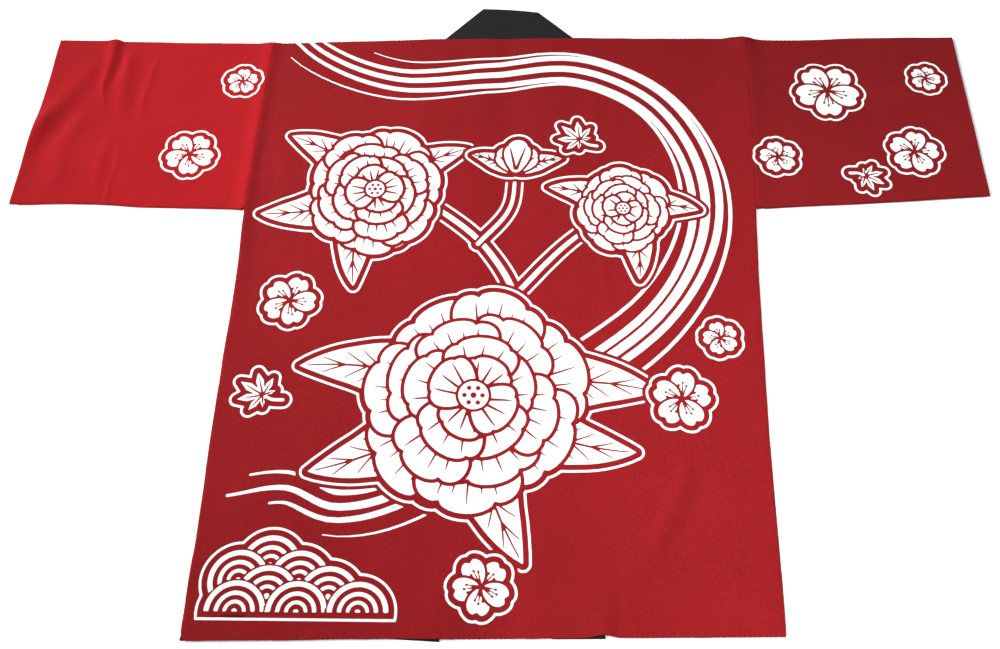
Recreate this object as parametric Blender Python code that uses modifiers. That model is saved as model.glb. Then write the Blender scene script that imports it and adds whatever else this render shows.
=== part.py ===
"""A happi coat laid out face down: the back panel lies over two fronts and a folded collar band.

Metres, +Z up. X runs from sleeve to sleeve and +Y from hem to collar. Every outline is worked out
from the centre of the back (x) and the shoulder line (y), then moved so that the origin is at the
middle of the coat's outline, on the surface that it lies on.
"""

import math

import bpy
import numpy as np

MM = 0.001

# The coat's pattern, as half widths from the centre back and depths below the shoulder line
SHOULDER_HALF = 0.3415
CHEST_HALF = 0.3385
ARMHOLE_DEPTH = 0.291
HEM_HALF = 0.328
COAT_LENGTH = 0.843
CUFF_TOP_HALF = 0.6465
CUFF_BOTTOM_HALF = 0.651
CUFF_DEPTH = 0.276
SLEEVE_LENGTH = CUFF_TOP_HALF - SHOULDER_HALF
NECK_HALF = 0.0895
COLLAR_TOP_HALF = 0.0387
COLLAR_RISE = 0.0545
BAND_SEAM_HALF = 0.123
BAND_FREE_HALF = 0.063
BAND_LENGTH = 0.8445

# Cloth walls, and the clearances between layers and pieces
PANEL_WALL = 0.0011
BAND_WALL = 0.0016
LAYER_GAP = 0.0004
SEAM_GAP = 0.0003
FLOOR_CLEARANCE = 0.0001
FOLD_INSET = 0.0016
FRONT_HEM_INSET = 0.004
NECK_NOTCH = 0.0020
NECK_NOTCH_DEPTH = 0.010

# How the back panel sinks between the two bands, and eases down beside them
SAG_MARGIN = 0.005
SAG_RUN = 0.020
EASE_MARGIN = 0.006
EASE_RUN = 0.060

# Mesh spacing
FOLD_STEPS = 6
SEAM_STRIP = 0.055
CREASE_STRIP_HALF = 0.009
SLEEVE_ACROSS_STEPS = 12
SLEEVE_UNDER_STEPS = 4
BAND_ACROSS_STEPS = 4
BAND_RUN_STEPS = 9
NECK_STEPS = 18

RED = (0.42, 0.018, 0.027, 1.0)
BLACK = (0.024, 0.024, 0.026, 1.0)
COTTON_ROUGHNESS = 0.9

# Where each corner lies. The shifts are in mm: the coat was spread by hand and isn't quite even
LAID_CORNERS = {
    # corner: (pattern half width, pattern y, left dx, left dy, right dx, right dy)
    "seam_top": (SHOULDER_HALF, 0.0, 7.3, -7.3, 7.6, 3.4),
    "underarm": (CHEST_HALF, -ARMHOLE_DEPTH, -2.5, -2.3, -2.5, 2.8),
    "hem": (HEM_HALF, -COAT_LENGTH, -14.3, -6.4, -11.8, 6.9),
    "cuff_top": (CUFF_TOP_HALF, 0.0, -2.7, -1.7, -3.4, 6.7),
    "cuff_bottom": (CUFF_BOTTOM_HALF, -CUFF_DEPTH, -8.9, -11.2, -6.2, 9.7),
    "neck": (NECK_HALF, 0.0, 4.7, 1.9, 7.4, 4.0),
    "collar_top": (COLLAR_TOP_HALF, COLLAR_RISE, 6.2, 4.6, 8.7, -1.6),
    "band_seam": (BAND_SEAM_HALF, -BAND_LENGTH, 4.0, 0.5, -2.0, 4.2),
    "band_free": (BAND_FREE_HALF, -BAND_LENGTH, 4.0, -1.4, 0.0, 3.2),
}

# Where the edges bow off their straight lines, in mm, because the coat was spread by hand
EDGE_BOWS = (
    # name, centre x, centre y, half width, half depth, shift along x, shift along y
    ("left side", -340, -410, 120, 72, 2.0, 0.0),
    ("left side, lower", -340, -712, 100, 45, 1.1, 0.0),
    ("right side", 332, -520, 120, 210, -3.3, 0.0),
    ("left cuff", -652, -108, 70, 64, 2.3, 0.0),
    ("left sleeve's top", -478, -5, 80, 60, 0.0, -1.2),
    ("left sleeve's bottom", -562, -290, 58, 50, 0.0, 3.0),
    ("right shoulder's end", 334, 5, 18, 35, 0.0, 2.0),
    ("right sleeve's top", 418, 0, 60, 60, 0.0, -3.4),
    ("right sleeve's bottom", 500, -275, 70, 50, 0.0, -0.8),
    ("hem", -135, -845, 60, 50, 0.0, 0.7),
)

# Folds and packing creases of the upper layer, in mm: soft ridges, or troughs where the height is below 0
CREASES = (
    # name, start x, start y, end x, end y, height at start, height at end, half width
    ("sleeve fold", -568, 0, -574, -92, 4.4, 1.8, 7),
    ("sleeve fold foot", -574, -92, -557, -128, 1.8, 0.4, 8),
    ("cuff ridge", -588, -52, -650, -142, 1.6, 1.8, 15),
    ("cuff trough", -580, -80, -654, -202, -1.0, -1.4, 15),
    ("sleeve lower crease", -531, -205, -534, -282, 0.9, 0.7, 10),
    ("sleeve middle trough", -503, -34, -528, -126, -1.0, -0.7, 16),
    ("left seam ridge", -334, -6, -341, -292, 2.6, 2.0, 15),
    ("left side ridge", -341, -292, -340, -470, 2.0, 0.6, 13),
    ("right seam hump", 341, 0, 338, -90, 4.2, 2.6, 15),
    ("right seam ridge", 338, -90, 336, -288, 2.6, 1.2, 14),
    ("left packing crease", -112, -60, -117, -660, 0.9, 0.6, 7),
    ("right packing crease", 125, -60, 132, -420, 1.1, 1.2, 7),
    ("right packing crease, lower", 132, -420, 126, -800, 1.2, 1.6, 8),
    ("hem lift", 122, -800, 122, -837, 1.6, 4.6, 17),
    ("lower right fold", 216, -640, 160, -762, 1.8, 2.2, 20),
    ("lower right trough", 246, -664, 196, -776, -0.9, -1.0, 24),
    ("lower left trough", -338, -650, -236, -617, -0.9, -0.7, 22),
)

# The hem draws back where it is lifted: the middle of the place, its half width and its depth
HEM_LIFT_X = 0.119
HEM_LIFT_HALF = 0.012
HEM_LIFT_DEPTH = 0.003
HEM_LIFT_RUN = 0.03

# The neck stretch of the band is stiff: its free edge spans between the two folds and bows out a little
NECK_BOW = 0.0015

# Where the upper layer lies loose over what is under it, in mm
LOOSE_PLACES = (
    # name, centre x, centre y, half width, half depth, height
    ("left sleeve", -560, -150, 118, 118, 1.5),
    ("right sleeve", 500, -140, 120, 105, 0.9),
    ("lower left", -250, -640, 78, 130, 1.1),
    ("lower right", 222, -690, 74, 118, 1.1),
)
MOUND_EDGE_POWER = 4

# The x of the two packing creases, which have columns of their own in the back's mesh
PACKING_CREASE_LEFT = -0.115
PACKING_CREASE_RIGHT = 0.128


def laid_corner(name, side):
    """Where a named corner lies; side is -1 on the left and 1 on the right."""
    half_width, y, left_dx, left_dy, right_dx, right_dy = LAID_CORNERS[name]
    dx, dy = (left_dx, left_dy) if side < 0 else (right_dx, right_dy)
    return np.array([side * half_width + dx * MM, y + dy * MM])


def outline_middle():
    """The middle of the coat's outline, which becomes the origin."""
    left, right = laid_corner("cuff_bottom", -1), laid_corner("cuff_bottom", 1)
    lowest, highest = laid_corner("hem", -1), laid_corner("collar_top", -1)
    return np.array([left[0] + right[0], lowest[1] + highest[1]]) / 2


def mound(x_mm, y_mm, centre_x, centre_y, half_width, half_depth):
    """A flat-topped mound: 1 at its centre and 0 well past its half sizes."""
    across = np.abs((x_mm - centre_x) / half_width) ** MOUND_EDGE_POWER
    down = np.abs((y_mm - centre_y) / half_depth) ** MOUND_EDGE_POWER
    return np.exp(-across - down)


def bowed(points):
    """Points from straight-edged plan places to where the spread cloth lies."""
    x_mm, y_mm = points[..., 0] / MM, points[..., 1] / MM
    shifts = np.zeros_like(points)
    for _, centre_x, centre_y, half_width, half_depth, shift_x, shift_y in EDGE_BOWS:
        share = mound(x_mm, y_mm, centre_x, centre_y, half_width, half_depth)
        shifts[..., 0] += shift_x * MM * share
        shifts[..., 1] += shift_y * MM * share
    return points + shifts


def smooth_step(value):
    clipped = np.clip(value, 0.0, 1.0)
    return clipped * clipped * (3.0 - 2.0 * clipped)


def between(start, end, count, keep_start=False):
    """Even steps from start to end, with or without the start itself."""
    places = np.linspace(start, end, count + 1)
    return list(places if keep_start else places[1:])


def stations(*stretches):
    """Distances from 0 on, in stretches of (where the stretch ends, spacing)."""
    places = [0.0]
    for end, spacing in stretches:
        places += between(places[-1], end, math.ceil((end - places[-1]) / spacing))
    return np.array(places)


def line_y(x, points):
    return np.interp(x, [point[0] for point in points], [point[1] for point in points])


def side_edge(side, part_down):
    """The body's side edge, down the armhole to the hem; part_down is 0 at the top and 1 at the hem."""
    corners = [laid_corner(name, side) for name in ("seam_top", "underarm", "hem")]
    knots = [0.0, ARMHOLE_DEPTH / COAT_LENGTH, 1.0]
    x, y = (np.interp(part_down, knots, [corner[i] for corner in corners]) for i in (0, 1))
    return np.array([x - side * SEAM_GAP / 2, y])


def row_y(x, part_down):
    """The y of a row of the body's cloth, which follows the shoulder line above and the hem below."""
    top = [side_edge(-1, 0.0), side_edge(1, 0.0)]
    neck = [laid_corner("neck", -1), laid_corner("neck", 1)]
    arch = line_y(x, [top[0], *neck, top[1]]) - line_y(x, top)
    level = line_y(x, [side_edge(-1, part_down), side_edge(1, part_down)])
    return level + arch * (1.0 - part_down)


def band_x(upper, lower, side, y):
    """One edge of a front band at y, between its corners at the neck and at the hem."""
    top, bottom = laid_corner(upper, side), laid_corner(lower, side)
    return np.interp(-y, [-top[1], -bottom[1]], [top[0], bottom[0]])


def band_seam_x(side, y):
    return band_x("neck", "band_seam", side, y)


def band_free_x(side, y):
    return band_x("collar_top", "band_free", side, y)


def relief(x, y):
    """How far the upper layer stands off what is under it, from its loose places and creases."""
    x_mm, y_mm = x / MM, y / MM
    height = np.zeros(np.broadcast(x, y).shape)
    for _, centre_x, centre_y, half_width, half_depth, loft in LOOSE_PLACES:
        height += loft * mound(x_mm, y_mm, centre_x, centre_y, half_width, half_depth)
    for _, x0, y0, x1, y1, start_height, end_height, half_width in CREASES:
        run_x, run_y = x1 - x0, y1 - y0
        along = ((x_mm - x0) * run_x + (y_mm - y0) * run_y) / (run_x**2 + run_y**2)
        along = np.clip(along, 0.0, 1.0)
        away = np.hypot(x_mm - x0 - along * run_x, y_mm - y0 - along * run_y)
        crest = start_height + (end_height - start_height) * along
        height += crest * np.exp(-((away / half_width) ** 2))
    return np.maximum(height, 0.0) * MM


def layer_floor(x, y):
    """What the upper layer lies on: the fronts, the bands, and almost the floor between the bands."""
    over_bands = 1.0
    for side in (-1, 1):
        beside_band = side * (x - band_seam_x(side, y))
        over_bands = over_bands * (1.0 - smooth_step((beside_band - EASE_MARGIN) / EASE_RUN))
    height = PANEL_WALL + LAYER_GAP + (BAND_WALL - PANEL_WALL) * over_bands
    past_left = (x - band_free_x(-1, y) - SAG_MARGIN) / SAG_RUN
    past_right = (band_free_x(1, y) - SAG_MARGIN - x) / SAG_RUN
    sag = np.minimum(smooth_step(past_left), smooth_step(past_right))
    return height + (FLOOR_CLEARANCE - height) * sag


def top_height(x, y):
    """The height of the coat's upper surface."""
    return layer_floor(x, y) + PANEL_WALL + relief(x, y)


def hem_draw(x, y):
    """How far the back's hem draws back where it is lifted."""
    near_hem = smooth_step((-y - COAT_LENGTH) / HEM_LIFT_RUN + 1.0)
    return HEM_LIFT_DEPTH * np.exp(-(((x - HEM_LIFT_X) / HEM_LIFT_HALF) ** 2)) * near_hem


def fold_angles(first, last):
    """The angles of a fold's sections, without its two ends, which belong to the layers."""
    return between(first, last, FOLD_STEPS)[:-1]


def cotton(name, colour):
    material = bpy.data.materials.new(name)
    material.use_nodes = True
    shader = material.node_tree.nodes["Principled BSDF"]
    shader.inputs["Base Color"].default_value = colour
    shader.inputs["Roughness"].default_value = COTTON_ROUGHNESS
    return material


def cloth(name, rows, wall, colour, collection, closed_round=False, flip=False, offset=-1.0):
    """A piece of cloth: an open surface through rows of points, with its wall from Solidify."""
    grid = np.array(rows)
    columns = grid.shape[1]
    faces = []
    for row in range(len(grid) - 1):
        for column in range(columns if closed_round else columns - 1):
            following = (column + 1) % columns
            near = row * columns
            far = near + columns
            face = [near + column, near + following, far + following, far + column]
            faces.append(face[::-1] if flip else face)
    points = bowed(grid.reshape(-1, 3)) - np.array([*outline_middle(), 0.0])
    mesh = bpy.data.meshes.new(name)
    mesh.from_pydata(points.tolist(), [], faces)
    mesh.shade_smooth()
    mesh.materials.append(cotton(name + "_cotton", colour))
    piece = bpy.data.objects.new(name, mesh)
    collection.objects.link(piece)
    solidify = piece.modifiers.new("wall", "SOLIDIFY")
    solidify.thickness = wall
    solidify.offset = offset
    solidify.use_even_offset = True
    return piece


def back_columns(part_down):
    """The x of each column of the back: edges, packing creases and the strip sunk between the bands."""
    y = float(row_y(0.0, part_down))
    left, right = side_edge(-1, part_down)[0], side_edge(1, part_down)[0]
    rim_left = band_free_x(-1, y) + SAG_MARGIN
    rim_right = band_free_x(1, y) - SAG_MARGIN
    knots = (
        # place, columns up to it
        (left + SEAM_STRIP, 4),
        (PACKING_CREASE_LEFT - CREASE_STRIP_HALF, 5),
        (PACKING_CREASE_LEFT + CREASE_STRIP_HALF, 3),
        (rim_left, 3),
        (rim_left + SAG_RUN, 3),
        (rim_right - SAG_RUN, 2),
        (rim_right, 3),
        (PACKING_CREASE_RIGHT - CREASE_STRIP_HALF, 3),
        (PACKING_CREASE_RIGHT + CREASE_STRIP_HALF, 3),
        (right - SEAM_STRIP, 5),
        (right, 4),
    )
    columns = [left]
    for place, count in knots:
        columns += between(columns[-1], place, count)
    return np.array(columns)


def make_back(collection):
    """The back panel, over everything else, up to the crest of the fold where the fronts meet it."""
    rows = []
    for down in reversed(stations((COAT_LENGTH - 0.05, 0.036), (COAT_LENGTH, 0.013))):
        part_down = down / COAT_LENGTH
        x = back_columns(part_down)
        y = row_y(x, part_down) - (FOLD_INSET + SEAM_GAP) * (1.0 - part_down)
        rows.append(np.stack([x, y + hem_draw(x, y), top_height(x, y)], axis=-1))
    return cloth("back", rows, PANEL_WALL, RED, collection)


def make_front(name, side, collection):
    """A front panel, flat on the floor, with the shoulder fold that rises to the back panel's top edge."""
    rows = []
    for down in reversed(stations((NECK_NOTCH_DEPTH, NECK_NOTCH_DEPTH), (COAT_LENGTH, 0.085))):
        part_down = down / COAT_LENGTH
        y_inner = float(row_y(laid_corner("neck", side)[0], part_down))
        notch = NECK_NOTCH * max(1.0 - down / NECK_NOTCH_DEPTH, 0.0)
        inner = band_seam_x(side, y_inner) + side * (SEAM_GAP / 2 + notch)
        outer = side_edge(side, part_down)[0]
        seam_strip = outer - side * SEAM_STRIP
        x = np.array(between(inner, seam_strip, 7, keep_start=True) + between(seam_strip, outer, 4))
        y = row_y(x, part_down) - FOLD_INSET * (1.0 - part_down) + FRONT_HEM_INSET * part_down
        rows.append(np.stack([x, y, np.zeros_like(x)], axis=-1))
    height = top_height(x, y)
    for angle in fold_angles(0.0, math.pi) + [math.pi]:
        out = height / 2 * math.sin(angle)
        up = height / 2 * (1.0 - math.cos(angle))
        rows.append(np.stack([x, y + out, up], axis=-1))
    return cloth(name, rows, PANEL_WALL, RED, collection, flip=side > 0)


def sleeve_ring(top, bottom):
    """One section of a sleeve, all round: upper layer, bottom seam, lower layer, top fold."""
    across = (bottom - top) / np.linalg.norm(bottom - top)
    first, last = top + across * FOLD_INSET, bottom - across * FOLD_INSET
    parts = np.linspace(0.0, 1.0, SLEEVE_ACROSS_STEPS + 1)[:, None]
    upper = first + (last - first) * parts
    heights = top_height(upper[:, 0], upper[:, 1])
    ring = [(*place, height) for place, height in zip(upper, heights)]
    for angle in fold_angles(math.pi, 0.0):
        edge = last + across * heights[-1] / 2 * math.sin(angle)
        ring.append((*edge, heights[-1] / 2 * (1.0 - math.cos(angle))))
    for part in np.linspace(0.0, 1.0, SLEEVE_UNDER_STEPS + 1):
        ring.append((*(last + (first - last) * part), 0.0))
    for angle in fold_angles(0.0, math.pi):
        edge = first - across * heights[0] / 2 * math.sin(angle)
        ring.append((*edge, heights[0] / 2 * (1.0 - math.cos(angle))))
    return ring


def make_sleeve(name, side, stretches, collection):
    """A sleeve lying flat: one tube of cloth, open at the armhole and at the cuff."""
    seam_shift = np.array([side * SEAM_GAP / 2, 0.0])
    armhole = [laid_corner(corner, side) + seam_shift for corner in ("seam_top", "underarm")]
    cuff = [laid_corner(corner, side) for corner in ("cuff_top", "cuff_bottom")]
    rows = []
    for place in stations(*stretches):
        part = place / SLEEVE_LENGTH
        top, bottom = (start + (end - start) * part for start, end in zip(armhole, cuff))
        rows.append(sleeve_ring(top, bottom))
    return cloth(name, rows, PANEL_WALL, RED, collection, closed_round=True, flip=side < 0)


def band_sections(side):
    """A front band from the hem to the diagonal fold beside the neck, where it turns over."""
    fold_radius = (BAND_WALL + LAYER_GAP) / 2
    seam_shift = np.array([-side * SEAM_GAP / 2, 0.0])
    seam_end = laid_corner("neck", side) + seam_shift - np.array([0.0, FOLD_INSET])
    free_end = laid_corner("collar_top", side)
    along_fold = (free_end - seam_end) / np.linalg.norm(free_end - seam_end)
    outward = np.array([side * along_fold[1], -side * along_fold[0]])
    free_end = free_end - outward * (fold_radius + BAND_WALL / 2)
    seam_start = laid_corner("band_seam", side) + seam_shift
    free_start = laid_corner("band_free", side)
    sections = []
    for part in np.linspace(0.0, 1.0, BAND_RUN_STEPS + 1):
        seam = seam_start + (seam_end - seam_start) * part
        free = free_start + (free_end - free_start) * part
        sections.append((seam, free, BAND_WALL / 2))
    for angle in fold_angles(0.0, math.pi) + [math.pi]:
        out = outward * fold_radius * math.sin(angle)
        up = BAND_WALL / 2 + fold_radius * (1.0 - math.cos(angle))
        sections.append((seam_end + out, free_end + out, up))
    return sections


def make_collar(collection):
    """The band: up the left front, round the back of the neck other face up, down the right front."""
    parts_across = np.linspace(0.0, 1.0, BAND_ACROSS_STEPS + 1)[:, None]
    rows = []

    def add_row(seam, free, heights):
        places = seam + (free - seam) * parts_across
        rows.append(np.column_stack([places, np.broadcast_to(heights, len(places))]))

    left, right = band_sections(-1), band_sections(1)
    for seam, free, height in left:
        add_row(seam, free, height)
    fold_height = left[-1][2]
    for part in between(0.0, 1.0, NECK_STEPS)[:-1]:
        seam = left[-1][0] + (right[-1][0] - left[-1][0]) * part
        free = left[-1][1] + (right[-1][1] - left[-1][1]) * part
        free = free + np.array([0.0, NECK_BOW * math.sin(math.pi * part)])
        seam_height = layer_floor(*seam) + BAND_WALL / 2
        add_row(seam, free, seam_height + (fold_height - seam_height) * parts_across[:, 0])
    for seam, free, height in reversed(right):
        add_row(seam, free, height)
    return cloth("collar", rows, BAND_WALL, BLACK, collection, offset=0.0)


def clear_scene():
    for existing in list(bpy.data.objects):
        bpy.data.objects.remove(existing, do_unlink=True)


def main():
    clear_scene()
    coat = bpy.data.collections.new("happi_coat")
    bpy.context.scene.collection.children.link(coat)
    make_back(coat)
    make_front("front_left", -1, coat)
    make_front("front_right", 1, coat)
    left_stretches = ((0.045, 0.0125), (0.210, 0.033), (0.258, 0.008), (SLEEVE_LENGTH, 0.024))
    right_stretches = ((0.045, 0.0125), (SLEEVE_LENGTH, 0.033))
    make_sleeve("sleeve_left", -1, left_stretches, coat)
    make_sleeve("sleeve_right", 1, right_stretches, coat)
    make_collar(coat)


main()
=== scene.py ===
"""The looks of a red happi coat that lies spread out face down on a pale floor.

Metres, +Z up. The cloth is worked out in plan: x from the centre of the back, y from the shoulder line.
A panel that turns over at an edge is laid out flat past that edge, and drape() bends it round.
The print is drawn in mm as signed distances on one raster over the whole coat, and its edges become
edges of the cloth's mesh, so each face is either dyed or left white.
"""

import math

import bpy
import numpy as np
from mathutils import Matrix, Vector
from mathutils.geometry import delaunay_2d_cdt


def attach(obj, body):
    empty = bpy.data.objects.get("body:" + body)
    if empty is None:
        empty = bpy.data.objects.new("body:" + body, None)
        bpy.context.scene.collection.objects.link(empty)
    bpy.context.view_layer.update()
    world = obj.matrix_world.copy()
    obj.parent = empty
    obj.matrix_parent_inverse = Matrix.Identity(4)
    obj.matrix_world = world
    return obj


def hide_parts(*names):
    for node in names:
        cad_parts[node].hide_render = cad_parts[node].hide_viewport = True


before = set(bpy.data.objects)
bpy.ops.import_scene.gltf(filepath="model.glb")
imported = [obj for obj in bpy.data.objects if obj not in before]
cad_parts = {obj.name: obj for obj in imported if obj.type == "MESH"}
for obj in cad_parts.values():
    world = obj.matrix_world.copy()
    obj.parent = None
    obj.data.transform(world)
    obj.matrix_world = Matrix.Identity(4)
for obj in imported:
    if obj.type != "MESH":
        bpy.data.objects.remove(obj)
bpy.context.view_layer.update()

MM = 0.001
SIDES = (-1, 1)

# The coat's pattern, as half widths from the centre back and depths below the shoulder line
SHOULDER_HALF = 0.3415
CHEST_HALF = 0.3385
ARMHOLE_DEPTH = 0.291
HEM_HALF = 0.328
COAT_LENGTH = 0.843
CUFF_TOP_HALF = 0.6465
CUFF_BOTTOM_HALF = 0.651
CUFF_DEPTH = 0.276
NECK_HALF = 0.0895
COLLAR_TOP_HALF = 0.0387
COLLAR_RISE = 0.0545
BAND_SEAM_HALF = 0.123
BAND_FREE_HALF = 0.063
BAND_LENGTH = 0.8445

# Layers: the room that each takes, and the real cloth's thickness
PANEL_WALL = 0.0011
BAND_WALL = 0.0016
LAYER_GAP = 0.0004
SEAM_GAP = 0.00002
FLOOR_CLEARANCE = 0.0001
CLOTH = 0.00045

# How the back panel sinks between the two bands, and eases down beside them
SAG_MARGIN = 0.002
SAG_RUN = 0.050
EASE_MARGIN = 0.006
EASE_RUN = 0.060

# How cloth turns over at its edges
FOLD_INSET = 0.0016
HEM_INSET = 0.0006
HEM_RADIUS = 0.00055
SEAM_RADIUS = 0.00006
SEAM_TURN = math.pi / 2
HEM_TURN = 2.9
FULL_TURN = math.pi
TO_THE_FLOOR = 1.0
SHOULDER_UNDERLAP = 0.005
FRONT_HEM_INSET = 0.004
SLEEVE_SEAM_GAP = 0.001
LOWEST_CLOTH = 0.00002

# Mesh spacing
GRID = 0.0060
EDGE_GRID = 0.0055
COARSE_GRID = 0.022
RIM_ROWS = (0.0012, 0.0030)
TURN_STEPS = 8
CREASE_STEP = 0.7
SHARP_STEP = 0.00002
CREASE_OFFSETS = (-1.8, -1.2, -0.75, -0.35, 0.0, 0.35, 0.75, 1.2, 1.8)

# Where each corner lies. The shifts are in mm: the coat was spread by hand and isn't quite even
LAID_CORNERS = {
    # corner: (pattern half width, pattern y, left dx, left dy, right dx, right dy)
    "seam_top": (SHOULDER_HALF, 0.0, 7.3, -7.3, 7.6, 3.4),
    "underarm": (CHEST_HALF, -ARMHOLE_DEPTH, -2.5, -2.3, -2.5, 2.8),
    "hem": (HEM_HALF, -COAT_LENGTH, -14.3, -6.4, -11.8, 6.9),
    "cuff_top": (CUFF_TOP_HALF, 0.0, -2.7, -1.7, -3.4, 6.7),
    "cuff_bottom": (CUFF_BOTTOM_HALF, -CUFF_DEPTH, -8.9, -11.2, -6.2, 9.7),
    "neck": (NECK_HALF, 0.0, 4.7, 1.9, 7.4, 4.0),
    "collar_top": (COLLAR_TOP_HALF, COLLAR_RISE, 6.2, 4.6, 8.7, -1.6),
    "band_seam": (BAND_SEAM_HALF, -BAND_LENGTH, 4.0, 0.5, -2.0, 4.2),
    "band_free": (BAND_FREE_HALF, -BAND_LENGTH, 4.0, -1.4, 0.0, 3.2),
}

# Where the edges bow off their straight lines, in mm, because the coat was spread by hand
EDGE_BOWS = (
    # name, centre x, centre y, half width, half depth, shift along x, shift along y
    ("left side", -340, -410, 120, 72, 2.0, 0.0),
    ("left side, lower", -340, -712, 100, 45, 1.1, 0.0),
    ("right side", 332, -520, 120, 210, -3.3, 0.0),
    ("left cuff", -652, -108, 70, 64, 2.3, 0.0),
    ("left sleeve's top", -478, -5, 80, 60, 0.0, -1.2),
    ("left sleeve's bottom", -562, -290, 58, 50, 0.0, 3.0),
    ("right shoulder's end", 334, 5, 18, 35, 0.0, 2.0),
    ("right sleeve's top", 418, 0, 60, 60, 0.0, -3.4),
    ("right sleeve's bottom", 500, -275, 70, 50, 0.0, -0.8),
    ("hem", -135, -845, 60, 50, 0.0, 0.7),
)

# Folds and packing creases of the upper layer, in mm: soft ridges, or troughs where the height is below 0
CREASES = (
    # name, and points along the crest as (x, y, height, half width)
    ("sleeve fold", (
        (-565, 6, 3.3, 9), (-567, -21, 3.0, 8.5), (-567, -56, 2.6, 6.5), (-570, -86, 1.9, 5),
        (-567, -104, 1.3, 4), (-559, -127, 0.1, 4))),
    ("sleeve fold's right side", ((-553, -2, -1.7, 7), (-552, -46, -1.5, 6.5), (-558, -86, -0.6, 5))),
    ("cuff ridge", (
        (-588, -50, 0.6, 9), (-598, -66, 1.9, 13), (-615, -99, 2.2, 14), (-632, -128, 3.0, 12),
        (-645, -149, 4.8, 11.5), (-655, -176, 3.0, 13), (-662, -205, 1.6, 13))),
    ("cuff trough", (
        (-592, -110, -0.5, 12), (-614, -148, -1.8, 12), (-627, -178, -2.1, 12), (-637, -212, -1.5, 13),
        (-641, -262, -0.9, 14))),
    ("cuff inner ridge", (
        (-588, -140, 0.4, 9), (-598, -166, 1.6, 11), (-606, -196, 0.7, 10), (-604, -236, 1.6, 12),
        (-609, -270, 0.5, 11))),
    ("sleeve soft ridge", (
        (-542, -34, 1.5, 8), (-540, -80, 2.0, 9), (-537, -122, 1.2, 9), (-534, -150, 0.1, 9))),
    ("sleeve middle trough", ((-520, -42, -0.4, 8), (-518, -80, -0.6, 9), (-520, -124, -0.3, 8))),
    ("sleeve thin ridge", (
        (-498, -26, 0.3, 4), (-502, -55, 0.8, 4.5), (-508, -114, 0.8, 5.5), (-503, -156, 0.2, 5))),
    ("sleeve cross ridge", ((-534, -166, 0.7, 9), (-500, -168, 1.0, 10), (-466, -164, 0.5, 10))),
    ("sleeve lower ridge", (
        (-544, -178, 0.6, 7), (-548, -214, 1.3, 8), (-549, -246, 1.1, 8), (-545, -264, 0.3, 7))),
    ("sleeve lower crease", (
        (-527, -194, 0.2, 3.5), (-526, -228, 0.5, 3.5), (-530, -258, 0.4, 3), (-531, -287, 0.6, 3.5))),
    ("left seam ridge", (
        (-338, -6, 2.6, 10), (-341, -150, 3.1, 10), (-343, -292, 3.0, 10), (-341, -380, 1.6, 12),
        (-340, -470, 0.7, 12))),
    ("right shoulder hump", ((343, 8, 4.6, 14), (343, -14, 2.0, 13), (343, -34, 0.3, 12))),
    ("right seam, body side", ((326, -20, 0.7, 18), (326, -150, 1.0, 18), (324, -280, 0.5, 17))),
    ("right seam, sleeve side", (
        (350, -24, 1.0, 13), (350, -90, 1.5, 14), (348, -160, 1.1, 14), (344, -288, 0.5, 12))),
    ("left packing crease", ((-112, -60, 0.3, 7), (-114, -300, 0.4, 7), (-117, -660, 0.15, 7))),
    ("right packing crease", (
        (125, -60, 0.25, 6), (131, -310, 0.6, 7), (135, -420, 0.5, 7), (136, -600, 0.15, 7))),
    ("hem lift", ((122, -792, 0.1, 11), (120, -818, 0.8, 11), (119, -838, 1.9, 12), (119, -850, 4.6, 13))),
    ("hem lift's right side", ((134, -782, -0.2, 6), (137, -816, -0.7, 6), (139, -850, -0.6, 7))),
    ("ridge beside the hem lift", ((151, -790, 0.1, 8), (153, -822, 0.5, 9), (154, -850, 0.4, 9))),
    ("hem ripple", ((34, -770, 0.3, 16), (30, -845, 0.8, 16))),
    ("hem trough", ((74, -775, -0.3, 14), (70, -845, -0.5, 14))),
    ("left hem ripple", ((-60, -790, 0.2, 20), (-72, -845, 0.6, 20))),
    ("lower right fold", (
        (221, -634, 0.2, 9), (219, -650, 1.8, 11), (214, -672, 1.8, 12), (192, -714, 1.6, 11),
        (172, -748, 0.9, 11), (156, -770, 0.3, 11))),
    ("lower right trough", ((238, -680, -0.6, 13), (212, -724, -0.9, 13), (188, -764, -0.5, 13))),
    ("right hem fold", ((246, -800, 0.5, 14), (292, -792, 0.6, 14))),
    ("lower left trough", ((-338, -650, -0.8, 22), (-236, -617, -0.6, 22))),
    ("lower left ridge", ((-300, -700, 0.5, 26), (-170, -650, 0.4, 26))),
    ("left chest ridge", ((-300, -190, 0.8, 15), (-286, -330, 0.6, 16))),
    ("left chest trough", ((-320, -196, -0.8, 12), (-310, -420, -0.5, 13))),
    ("middle fold", ((-60, -390, 0.3, 22), (50, -420, 0.3, 22))),
)

# The hem draws back where it is lifted: the middle of the place, its half width and its depth
HEM_LIFT_X = 0.119
HEM_LIFT_HALF = 0.012
HEM_LIFT_DEPTH = 0.003

# The neck stretch of the band is stiff: its free edge spans between the two folds and bows out a little
NECK_BOW = 0.0015

# Where the upper layer lies loose over what is under it, in mm
LOOSE_PLACES = (
    # name, centre x, centre y, half width, half depth, height
    ("left sleeve", -560, -150, 118, 118, 1.5),
    ("right sleeve", 500, -140, 120, 105, 0.9),
    ("lower left", -250, -640, 78, 130, 1.1),
    ("lower right", 222, -690, 74, 118, 1.1),
)
MOUND_EDGE_POWER = 4

# The slight unevenness of cloth that was smoothed out by hand, as waves, in mm
HAND_WAVES = (
    # length along x, length along y, phase, height
    (310, 170, 0.4, 0.20),
    (-140, 260, 1.9, 0.17),
    (96, -150, 3.1, 0.10),
    (-61, -88, 5.2, 0.06),
)


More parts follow.
